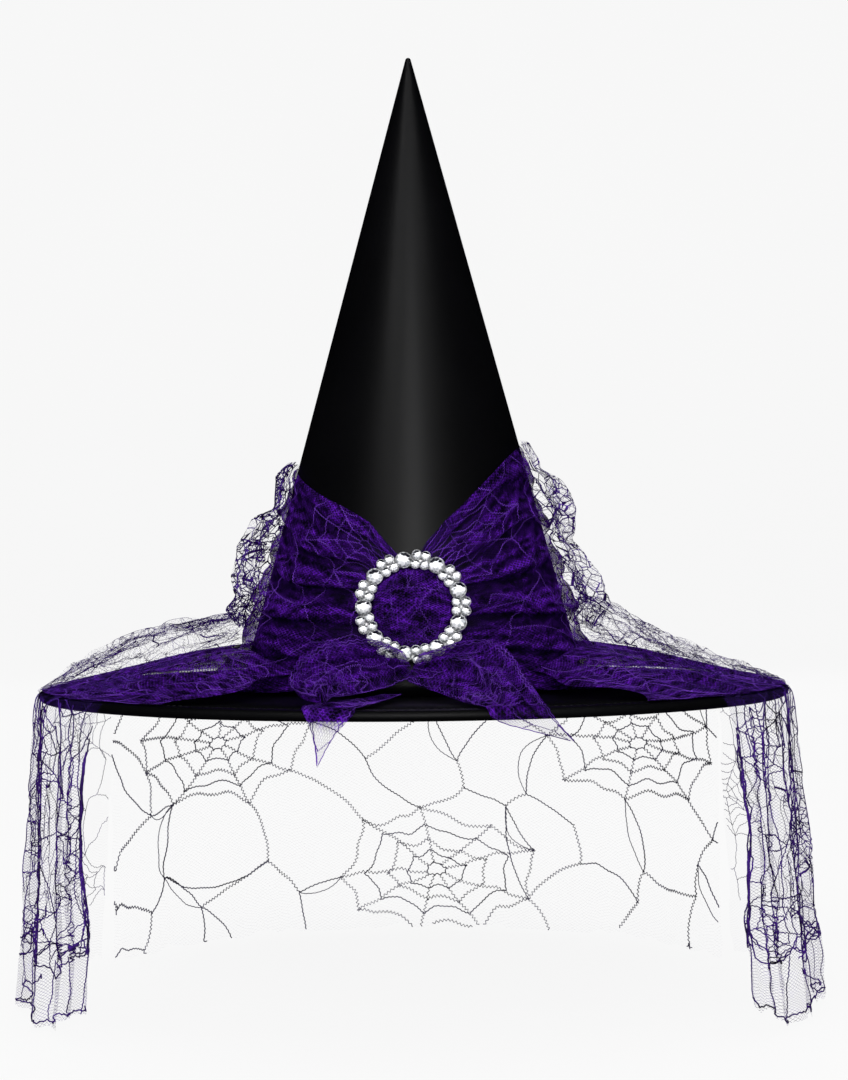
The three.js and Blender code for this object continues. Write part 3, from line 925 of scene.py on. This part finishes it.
def crown_wrap(side):
    """Half of the lace band: pleats that fan out from the buckle round the crown."""
    sign = -1 if side == "left" else 1
    seed = {"left": 31, "right": 33}[side]
    rng = np.random.default_rng(seed)
    phases = random_phases(rng)
    fill = {}

    def shape(a, b):
        # a from the front to the back, b from the lower edge to the upper
        turn = 2 + 179 * a
        angle = np.radians(turn)
        sine = np.where(turn < 90, np.sin(angle), 1.0)
        high = np.interp(sine, *NECKLINE[side]) * MM
        high = high - 7 * MM * between(100, 170, turn) + 1.3 * MM * np.sin(angle * 5 + phases[0])
        low = 14 * MM - 9 * MM * between(4, 46, turn)
        z = low + (high - low) * b
        near = np.exp(-((turn / 55) ** 2))
        slide = b + 0.04 * np.sin(angle * 2.3 + phases[1]) + 0.018 * np.sin(angle * 6 + 8 * b + phases[2])
        fold = pleat(1 - slide * 5.3 + phases[3])
        minor = np.sin(2 * math.pi * 13 * slide + phases[4] - angle * 3.1)
        small = np.sin(2 * math.pi * 23 * slide + phases[5] + angle * 4.0)
        # Painted shade: the lace is thinned in the pleats' valleys, so that the black crown shows through and the
        # valleys look dark
        fill["share"] = 0.2 + 0.8 * between(0.04, 0.5, fold) * (0.8 + 0.2 * minor)
        cross = np.sin(angle * 13 + 6 * b + phases[6])
        hemmed = np.clip(arch(b), 0, 1) ** 0.35
        pleats = (3.6 * near + 3.0) * fold + (0.45 + 0.4 * near) * minor + 0.25 * small
        depth = 0.9 * MM + pleats * MM * hemmed
        depth = depth + 0.5 * cross * MM * (1 - near) * hemmed
        depth = depth * (1 - 0.55 * np.exp(-((turn / 22) ** 2)))
        flare = (1 - np.clip(b / 0.24, 0, 1)) ** 1.7 * between(26, 60, turn)
        out = np.maximum(depth, 0.5 * MM) + flare * 21 * MM
        out = out + (1 - near) * 3.4 * MM * np.exp(-(((b - 0.3) / 0.25) ** 2))
        return polar(cone_radius(z) + out, (180 - turn) * sign, np.maximum(z, 5.2 * MM))

    cloth = Cloth(shape, 260, 110)
    # The cover carries the painted shade of the pleats' valleys
    place_lace(f"lace_band_{side}", cloth, NET_BAND, THREAD_BAND, "hat", f"crown_wrap_{side}", "gathered",
               "crown_cone", seed, shift=(0.02, 0.01), scale=0.75, weight=0.95, style="soft",
               cover=lambda a, b: fill["share"])


# How far a ruffle stands out from the cone: height in mm, and reach in mm
RUFFLE_LOBES = {
    "left": ([121, 114, 97, 92, 78, 61, 52, 44, 35], [2, 7, 3, 12, 17, 16, 11, 15, 6]),
    "back": ([121, 112, 96, 90, 74, 58, 46, 36], [2, 9, 7, 13, 18, 18, 15, 6]),
    "right": ([131, 122, 117, 111, 95, 80, 74, 60, 47, 34], [1, 4, 3, 13, 17, 9, 14, 19, 20, 13]),
}


def ruffle(side):
    """Loose gathered edge of the veil, standing out from the crown."""
    spans = {"left": (-114, -35), "back": (-38, 38), "right": (35, 114)}
    first, last = spans[side]
    seed = {"left": 41, "back": 43, "right": 47}[side]
    heights, reaches = (np.array(x, float) * MM for x in RUFFLE_LOBES[side])
    phases = random_phases(np.random.default_rng(seed))

    def shape(a, b):
        azimuth = first + (last - first) * a
        turn = np.radians(azimuth)
        z = heights[0] + (heights[-1] - heights[0]) * b
        lift = 3 * MM * np.sin(turn * 4 + phases[0]) * np.sin(np.pi * b) * (1 - np.abs(np.sin(turn)) ** 8)
        out = np.interp(-(z + lift), -heights, reaches)
        bunch = (np.abs(turn) - math.pi / 2) * 14 + math.pi / 2 + 0.7 * np.sin(5 * b * math.pi + phases[1])
        fine = np.sin(turn * 41 + phases[2] - 5 * b)
        bulge = arch(b) ** 0.6
        out = out * (0.68 + 0.32 * np.sin(bunch)) + 0.7 * fine * MM * bulge
        slide = 2.0 * np.cos(bunch) * bulge
        return polar(cone_radius(z, 4.2 * MM) + np.maximum(out, 0.6 * MM), azimuth + slide, z)

    cloth = Cloth(shape, 240, 60, ((18 * MM, 0.9 * MM, seed),), lambda a, b: arch(b) ** 0.7)
    place_lace(f"ruffle_lace_{side}", cloth, NET_RUFFLE, THREAD_VEIL, "hat", f"ruffle_{side}", "gathered",
               "crown_cone", seed, shift=(0.03, 0.03), scale=0.42, weight=1.15 if side == "left" else 0.5,
               shade=False)


# ---------------------------------------------------------------- crown and brim


def arc_points(x, y, radius, start, end, steps):
    angles = np.linspace(math.radians(start), math.radians(end), steps + 1)
    return [(x + radius * math.cos(t), y + radius * math.sin(t)) for t in angles]


def crown():
    tip = CROWN_APEX - TIP_RADIUS / math.sin(LEAN)
    inner_top = tip - 3 * TIP_RADIUS
    profile = [(0, inner_top), (cone_radius(inner_top, -SATIN_THICKNESS), inner_top)]
    profile += [(cone_radius(CROWN_BASE, -SATIN_THICKNESS), CROWN_BASE), (CROWN_RADIUS, CROWN_BASE)]
    heights = np.linspace(CROWN_BASE, tip + TIP_RADIUS * math.sin(LEAN), 40)[1:-1]
    profile += [(cone_radius(z), z) for z in heights]
    profile += arc_points(0, tip, TIP_RADIUS, math.degrees(LEAN), 90, 8)
    cone = lathe("crown_cone", profile, 160, SATIN)
    belongs(cone, "hat", "satin", "crown_satin_cone")
    belongs(seam_line(), "hat", "satin")


def seam_line():
    """Raised seam down the crown's back, with its stitches."""
    low, high = CROWN_BASE + 118 * MM, 318 * MM
    lines = []
    heights = np.linspace(CROWN_BASE + 2 * MM, high, 90)
    ridge = np.stack([0 * heights, [cone_radius(z, 0.1 * MM) for z in heights], heights], 1)
    lines.append((ridge, 0.45 * MM, 4))
    for side in (-1, 1):
        for z in np.arange(low, high, 3.4 * MM):
            ends = np.array([z, z + 2.3 * MM])
            radius = np.array([cone_radius(e, 0.12 * MM) for e in ends])
            lines.append((np.stack([[side * 2.2 * MM] * 2, radius, ends], 1), 0.2 * MM, 4))
    return tubes("crown_seam", lines, STITCH)


def brim():
    inner, outer, bound, steps = 87.9 * MM, 191.7 * MM, 183 * MM, 220
    covers = ("brim_top", BRIM_TOP - COVER_THICKNESS, BRIM_TOP), ("brim_under", 0, COVER_THICKNESS)
    for name, low, high in covers:
        profile = [(inner, high), (outer, high), (outer, low), (inner, low)]
        belongs(lathe(name, profile, steps, SATIN_BRIM, closed=True), "hat", "satin", name + "_cover")
    middle = BRIM_TOP / 2
    fold = middle - EDGE_LOW
    centre = BRIM_RADIUS - fold
    thick = COVER_THICKNESS
    profile = [(bound, EDGE_LOW), *arc_points(centre, middle, fold, -90, 90, 14), (bound, EDGE_TOP)]
    profile += [(bound, EDGE_TOP - thick), *arc_points(centre, middle, fold - thick, 90, -90, 10)]
    profile += [(bound, EDGE_LOW + thick)]
    belongs(lathe("brim_edge", profile, steps, SATIN_BRIM, closed=True), "hat", "satin", "brim_binding")
    stitches = []
    for k in range(300):
        a = 2 * math.pi * k / 300 + np.array([0, 0.011])
        for height in (EDGE_TOP + 0.05 * MM, EDGE_LOW - 0.05 * MM):
            radius = bound + 1.6 * MM
            line = np.stack([radius * np.cos(a), radius * np.sin(a), [height] * 2], 1)
            stitches.append((line, 0.2 * MM, 4))
    belongs(tubes("brim_stitching", stitches, STITCH), "hat", "satin")


def inside_parts():
    """The CAD pieces inside the hat keep their shape and get a finer material."""
    for name, material in (("crown_foam_stiffener", FOAM), ("sweatband", RIBBON), ("brim_board", BOARD),
                           ("brim_wire", WIRE)):
        node = frame["nodes"][name]
        for slot in node.material_slots:
            slot.material = material


# ---------------------------------------------------------------- buckle


# From the buckle's own plane, facing +Z, to where it leans on the crown
BUCKLE_PLACE = Matrix.Translation(BUCKLE_CENTRE) @ Matrix.Rotation(math.pi / 2 - LEAN, 4, "X")
LARGE_STONE = 3.8 * MM
SMALL_STONE = 2.3 * MM
STONE_LIFT = 0.9 * MM
# Round a stone's cup: radius as a share of the stone's, and height in mm
CUP_RINGS = ((0.8, 0.3), (1.1, 0.45), (1.12, 1.35), (0.96, 1.3), (0.9, 0.9))


def on_crown(obj):
    """Moves a piece from the buckle's own plane to its place."""
    obj.data.transform(BUCKLE_PLACE)
    obj.data.update()
    return obj


def ring_frame():
    inner, outer = BUCKLE_RADIUS - RING_HALF_WIDTH, BUCKLE_RADIUS + RING_HALF_WIDTH
    back, waist, front = -2.5 * MM, -1.2 * MM, -0.2 * MM
    profile = [(inner, back), (outer, back), (outer + 0.2 * MM, waist), (outer - 0.5 * MM, front)]
    profile += [(inner + 0.5 * MM, front), (inner - 0.2 * MM, waist)]
    return on_crown(lathe("buckle_ring", profile, 120, SILVER, closed=True))


def cut_stone(radius, sides, depth):
    """Points and faces of a round cut stone, table up, with two tiers of facets."""
    tiers = [(0.0, depth), (radius * 0.42, depth), (radius * 0.78, depth * 0.72), (radius, depth * 0.28),
             (radius * 0.92, 0.0), (0.0, 0.0)]
    points, faces = [], []
    for k, (r, z) in enumerate(tiers[1:-1]):
        for i in range(sides):
            a = 2 * math.pi * (i + 0.5 * (k % 2)) / sides
            points.append((r * math.cos(a), r * math.sin(a), z))
    faces.append(tuple(range(sides)))
    for k in range(3):
        for i in range(sides):
            j = (i + 1) % sides
            low, high = (k + 1) * sides, k * sides
            if k % 2 == 0:
                faces += [(high + i, low + i, high + j), (high + j, low + i, low + j)]
            else:
                faces += [(high + i, low + i, low + j), (high + i, low + j, high + j)]
    faces.append(tuple(reversed(range(3 * sides, 4 * sides))))
    return points, faces


def painted_facet_reflection(middle, painted_dark_notch, rng):
    """Painted reflection of a facet, from its middle in a stone of radius 1: painted dark reflection near the rim
    and in a notch at one side, a painted highlight in the middle, and painted glints of random brightness between.
    """
    out = math.hypot(middle[0], middle[1])
    turn = abs(math.degrees(math.atan2(middle[0], middle[1])) - painted_dark_notch)
    if out > 0.88:
        return 0.25
    if out > 0.62:
        return 0.0 if turn < 72 else rng.uniform(0.35, 1)
    if out > 0.2:
        return 0.0 if turn < 34 else rng.uniform(0.45, 1)
    return 1.0


def stone_cluster(name, stones, node, rng):
    """Stones (x, y, radius) in silver cups, as one mesh with two materials. Each sits a little askew."""
    form = bmesh.new()
    # Each facet's painted reflection, kept on the face
    painted_reflection = form.faces.layers.float.new("painted_reflection")
    for x, y, radius in stones:
        points, faces = cut_stone(radius, STONE_SIDES, radius * 0.95)
        tilt = Matrix.Rotation(rng.uniform(-0.2, 0.2), 3, "X")
        tilt = tilt @ Matrix.Rotation(rng.uniform(-0.2, 0.2), 3, "Y")
        # Side of the stone where its painted reflection is dark
        painted_dark_notch = rng.uniform(-25, 25)
        lifted = [form.verts.new(tilt @ Vector(p) + Vector((x, y, STONE_LIFT))) for p in points]
        for face in faces:
            made = form.faces.new([lifted[k] for k in face])
            made.material_index = 0
            made[painted_reflection] = painted_facet_reflection(np.mean([points[k] for k in face], axis=0) / radius, painted_dark_notch, rng)
        turns = np.arange(CUP_SIDES) * 2 * math.pi / CUP_SIDES
        cup_rings = []
        for share, z in CUP_RINGS:
            r = radius * share
            ring = [(x + r * math.cos(a), y + r * math.sin(a), z * MM) for a in turns]
            cup_rings.append([form.verts.new(point) for point in ring])
        for low, high in zip(cup_rings, cup_rings[1:]):
            for i in range(CUP_SIDES):
                j = (i + 1) % CUP_SIDES
                made = form.faces.new([low[i], low[j], high[j], high[i]])
                made.material_index = 1
                made.smooth = True
        for ring, way in ((cup_rings[0], -1), (cup_rings[-1], 1)):
            made = form.faces.new(ring[::way])
            made.material_index = 1
    bmesh.ops.recalc_face_normals(form, faces=form.faces)
    mesh = bpy.data.meshes.new(name)
    form.to_mesh(mesh)
    form.free()
    obj = add_object(name, mesh)
    mesh.materials.append(STONE)
    mesh.materials.append(SILVER)
    belongs(on_crown(obj), "buckle", "crystal", node)


def buckle():
    rng = np.random.default_rng(7)
    belongs(ring_frame(), "buckle", "silver", "buckle_frame")
    for i in range(STONE_PLACES):
        a = 2 * math.pi * (i + 0.5) / STONE_PLACES
        x, y = BUCKLE_RADIUS * math.cos(a), BUCKLE_RADIUS * math.sin(a)
        stone_cluster(f"stone_{i + 1}", [(x, y, LARGE_STONE)], f"large_stone_{i + 1}", rng)
        b = 2 * math.pi * i / STONE_PLACES
        along = np.array([-math.sin(b), math.cos(b)])
        out = np.array([math.cos(b), math.sin(b)])
        places = []
        for p in (-1, 1):
            for q in (-1, 1):
                spot = out * (BUCKLE_RADIUS + p * 2.3 * MM) + along * q * 2.25 * MM
                places.append((spot[0], spot[1], SMALL_STONE))
        stone_cluster(f"stone_set_{i + 1}", places, f"small_stone_set_{i + 1}", rng)
    gather()


def gather():
    """Lace pulled through the ring, puffed out in it."""
    rng = np.random.default_rng(61)
    phases = random_phases(rng)
    reach = BUCKLE_RADIUS - 3.6 * MM
    place = np.array(BUCKLE_PLACE)

    def shape(a, b):
        x, y = 2 * a - 1, 2 * b - 1
        x, y = x * np.sqrt(1 - y * y / 2), y * np.sqrt(1 - x * x / 2)
        away = np.hypot(x, y)
        dome = np.sqrt(np.clip(1 - away**2.6, 0, 1))
        crease = np.sin(5 * x + 3 * np.sin(3 * y + phases[0]) + phases[1])
        crease = crease + 0.6 * np.sin(8 * y - 5 * x + phases[2])
        crease = np.abs(crease + 0.5 * np.sin(19 * x + 9 * y + phases[3]))
        z = -1.7 * MM + 3.6 * MM * dome + (1.3 - crease) * 1.5 * MM * dome
        point = np.stack([reach * x, reach * y, z], -1) @ place[:3, :3].T + place[:3, 3]
        return point[..., 0], point[..., 1], point[..., 2]

    cloth = Cloth(shape, 70, 70)
    place_lace("buckle_puff", cloth, NET_PUFF, THREAD_BAND, "buckle", "buckle_gather", "gathered",
               "buckle_ring", 61, shift=(0.017, 0.011), scale=0.36, style="soft")


# ---------------------------------------------------------------- bow tails


def smooth_curve(points, t):
    """Points along a curve through control points (x, y, z in mm), at shares t of the way."""
    points = np.array(points, float) * MM
    knots = np.linspace(0, 1, len(points))
    fine = np.linspace(0, 1, 240)
    kernel = np.hanning(33)
    kernel /= kernel.sum()
    half = len(kernel) // 2
    columns = []
    for k in range(3):
        raw = np.interp(fine, knots, points[:, k])
        head = 2 * raw[0] - raw[half:0:-1]
        tail = 2 * raw[-1] - raw[-2:-half - 2:-1]
        smooth = np.convolve(np.concatenate([head, raw, tail]), kernel, "valid")
        columns.append(np.interp(t, fine, smooth))
    return np.stack(columns, -1)


def ribbon(one, other, folds, depth, seed):
    """A sheet between two edge curves, with lengthwise folds. It lies on the brim where it passes over it."""
    rng = np.random.default_rng(seed)
    phases = random_phases(rng, 6)

    def shape(a, b):
        first, second = smooth_curve(one, a), smooth_curve(other, a)
        point = first + (second - first) * b[..., None]
        normal = unit(np.cross(np.gradient(point, axis=0), np.gradient(point, axis=1)))
        fold = np.sin(2 * math.pi * folds * b + phases[0] + 1.6 * a)
        fold = fold + 0.5 * np.sin(2 * math.pi * folds * 2.3 * b + phases[1] - 3 * a)
        lift = depth * fold * arch(b, 0.06, 0.94) ** 0.5 * between(0, 0.12, a)
        edge_gap = np.abs(np.hypot(point[..., 0], point[..., 1]) - BRIM_RADIUS)
        lift = lift * between(2 * MM, 10 * MM, edge_gap)
        point = point + normal * lift[..., None]
        radius = np.hypot(point[..., 0], point[..., 1])
        # Points over the brim's rounded edge are pushed out from the middle of the rounding, and those below
        # the edge's middle straight outwards
        out, up = radius - (BRIM_RADIUS - EDGE_ROUND), point[..., 2] - EDGE_MIDDLE
        clear = EDGE_ROUND + 1.3 * MM
        push = np.maximum(clear / np.maximum(np.hypot(out, up), 1e-6), 1.0)
        beside = up <= 0
        corner = (out > 0) & ~beside
        above = (out <= 0) & ~beside
        height = np.where(corner, EDGE_MIDDLE + up * push, point[..., 2])
        height = np.where(above, np.maximum(height, EDGE_MIDDLE + clear), height)
        out = np.where(corner, out * push, np.where(beside, np.maximum(out, clear), out))
        scale = (BRIM_RADIUS - EDGE_ROUND + out) / radius
        return point[..., 0] * scale, point[..., 1] * scale, height

    return Cloth(shape, 150, 36)


def rims(cloth, rng):
    """Cords along both long edges of a ribbon."""
    wide, long = float(cloth.v[-1]), float(cloth.u[-1])
    return [(wavy((1 * MM, place), (long - 1 * MM, place), 0.3 * MM, 4, rng), "rope")
            for place in (1 * MM, 2.2 * MM, wide - 1 * MM)]


# How far out from its joint the two points made for a bow tail lie, in mm
BEND_START, BEND_END = 8, 60


def tail_bend(name):
    """Two points out along a tail from its joint, at BEND_START and BEND_END."""
    joint = next(joint for joint in frame["record"]["behaviour"]["joints"] if joint["name"] == name)
    root, axis = Vector(joint["pos_m"]), Vector(joint["axis"])
    way = axis.cross(Vector((0, 0, 1))).normalized()
    if way.y > 0:
        way = -way
    return root + way * BEND_START * MM, root + way * BEND_END * MM


# Each bow piece: its two long edges (x, y, z in mm, listed outwards from the knot), how many folds, their
# depth, seed, and the web's scale and the threads' weight
BOW = {
    "bow_loop_lace": (
        [(-4, -100.5, 26), (-15, -105, 31), (-28, -115, 33), (-42, -127, 31), (-52, -139, 26), (-57, -151, 18),
         (-57, -163, 13), (-51, -173, 11), (-42, -180, 10)],
        [(1, -99.5, 14), (-5, -112, 12.5), (-10, -126, 11), (-16, -140, 10.5), (-22, -152, 10), (-27, -162, 10),
         (-31, -171, 10), (-35, -177, 10), (-39, -181, 10)],
        1.6, 3.0 * MM, 71, 0.5, 0.85),
    "bow_end_left": (
        [(-14, -110, 6.2), (-24, -135, 6), (-38, -158, 6), (-49, -177, 6), (-50, -187, 5.4), (-46, -194.5, -2),
         (-43.5, -195.5, -12), (-42.5, -196, -21)],
        [(-5, -110, 6.2), (-10, -135, 5.8), (-16, -162, 5.6), (-22, -186, 5.6), (-27, -196, 2), (-33, -197, -5),
         (-38, -197, -12), (-42, -197, -20)],
        1.6, 0.7 * MM, 73, 0.4, 0.8),
    "bow_end_right": (
        [(3, -103, 25), (24, -104, 31), (40, -112, 32), (47, -126, 26), (53, -149, 16), (58, -173, 8.5),
         (61, -184.5, 4.5), (66, -186.5, -3), (73, -184, -11.5)],
        [(-3, -102.5, 12), (3, -113, 10), (12, -128, 8), (20, -148, 6), (26, -170, 5.6), (31, -189, 4.5),
         (38, -193.5, -1.5), (54, -190, -6), (72, -184, -11)],
        2.1, 2.2 * MM, 77, 0.5, 0.85),
}


def bow_piece(name, side, node, cover, rng):
    *form, seed, scale, weight = BOW[name]
    cloth = ribbon(*form, seed)
    body = f"bow_tail_{side}"
    place_lace(name, cloth, NET_BAND, THREAD_BAND, body, node, "folded", "brim_top", seed, scale=scale,
               weight=weight, blend=tail_bend(body + "_lift"), style="soft", extra=rims(cloth, rng), cover=cover)


def bow_tails():
    """A drooping loop and a narrow end at the left, and a folded end at the right."""
    rng = np.random.default_rng(79)
    bow_piece("bow_loop_lace", "left", "bow_loop_left",
              lambda a, b: 0.55 + 0.45 * np.abs(np.sin(3 * np.pi * b + 2 * a)), rng)
    bow_piece("bow_end_left", "left", "bow_tail_left", lambda a, b: 1 - between(0.6, 0.78, a), rng)
    bow_piece("bow_end_right", "right", "bow_tail_right", lambda a, b: 1 - between(0.6, 0.85, a), rng)


# ---------------------------------------------------------------- everything

make_camera()

SATIN = satin_material("satin", 0.4)
SATIN_BRIM = satin_material("satin_brim", 0.5)
STITCH = thread_material("stitch_thread", (0.004, 0.004, 0.005), (0.012, 0.012, 0.014))
FOAM = plain_fabric("foam", (0.010, 0.010, 0.011), (0.022, 0.022, 0.024), 900)
BOARD = plain_fabric("board", (0.012, 0.012, 0.013), (0.03, 0.03, 0.032), 600)
RIBBON = plain_fabric("ribbon", (0.006, 0.006, 0.007), (0.016, 0.016, 0.018), 1400)
WIRE = metal_material("wire", (0.5, 0.5, 0.52), 0.35)
SILVER = metal_material("silver", (0.86, 0.86, 0.88), 0.3)
STONE = stone_material("stone")
THREAD_VEIL = thread_material("lace_thread_veil", VIOLET_DARK_THREAD, VIOLET_THREAD)
THREAD_BACK = thread_material("lace_thread_back", (0.016, 0.014, 0.028), (0.09, 0.082, 0.14))
THREAD_BAND = thread_material("lace_thread_band", (0.02, 0.004, 0.08), VIOLET_LIGHT)
NET_BACK = net_material("net_back", (0.35, 0.33, 0.45), (0.5, 0.48, 0.6), 1.6 * MM, 0.07 * MM, strength=0.22)
NET_SIDE = net_material("net_side", VIOLET_DARK_THREAD, VIOLET_THREAD, 1.35 * MM, 0.12 * MM, strength=0.9)
NET_TENT = net_material("net_tent", VIOLET_DARK_THREAD, VIOLET_THREAD, 2.1 * MM, 0.1 * MM, strength=0.55)
NET_RUFFLE = net_material("net_ruffle", VIOLET_DARK_THREAD, VIOLET_THREAD, 1.9 * MM, 0.1 * MM, wobble=4,
                          cells=(7 * MM, 0.5 * MM), strength=0.6)
NET_LINING = net_material("net_lining", VIOLET_DEEP, VIOLET, 1.5 * MM, 0.45 * MM, cover=0.72)
NET_BAND = net_material("net_band", VIOLET_DEEP, VIOLET, 1.5 * MM, 0.5 * MM, cover=0.62)
NET_PUFF = net_material("net_puff", VIOLET_DEEP, VIOLET, 1.3 * MM, 0.45 * MM, cover=0.8, wobble=6)

crown()
brim()
inside_parts()
buckle()
for half in ("left", "right"):
    crown_wrap(half)
bow_tails()
veil_lining()
veil_tent()
for part in ("left", "back", "right"):
    ruffle(part)
    veil_drop(part)

make_lights()
make_floor(FLOOR_HEIGHT)
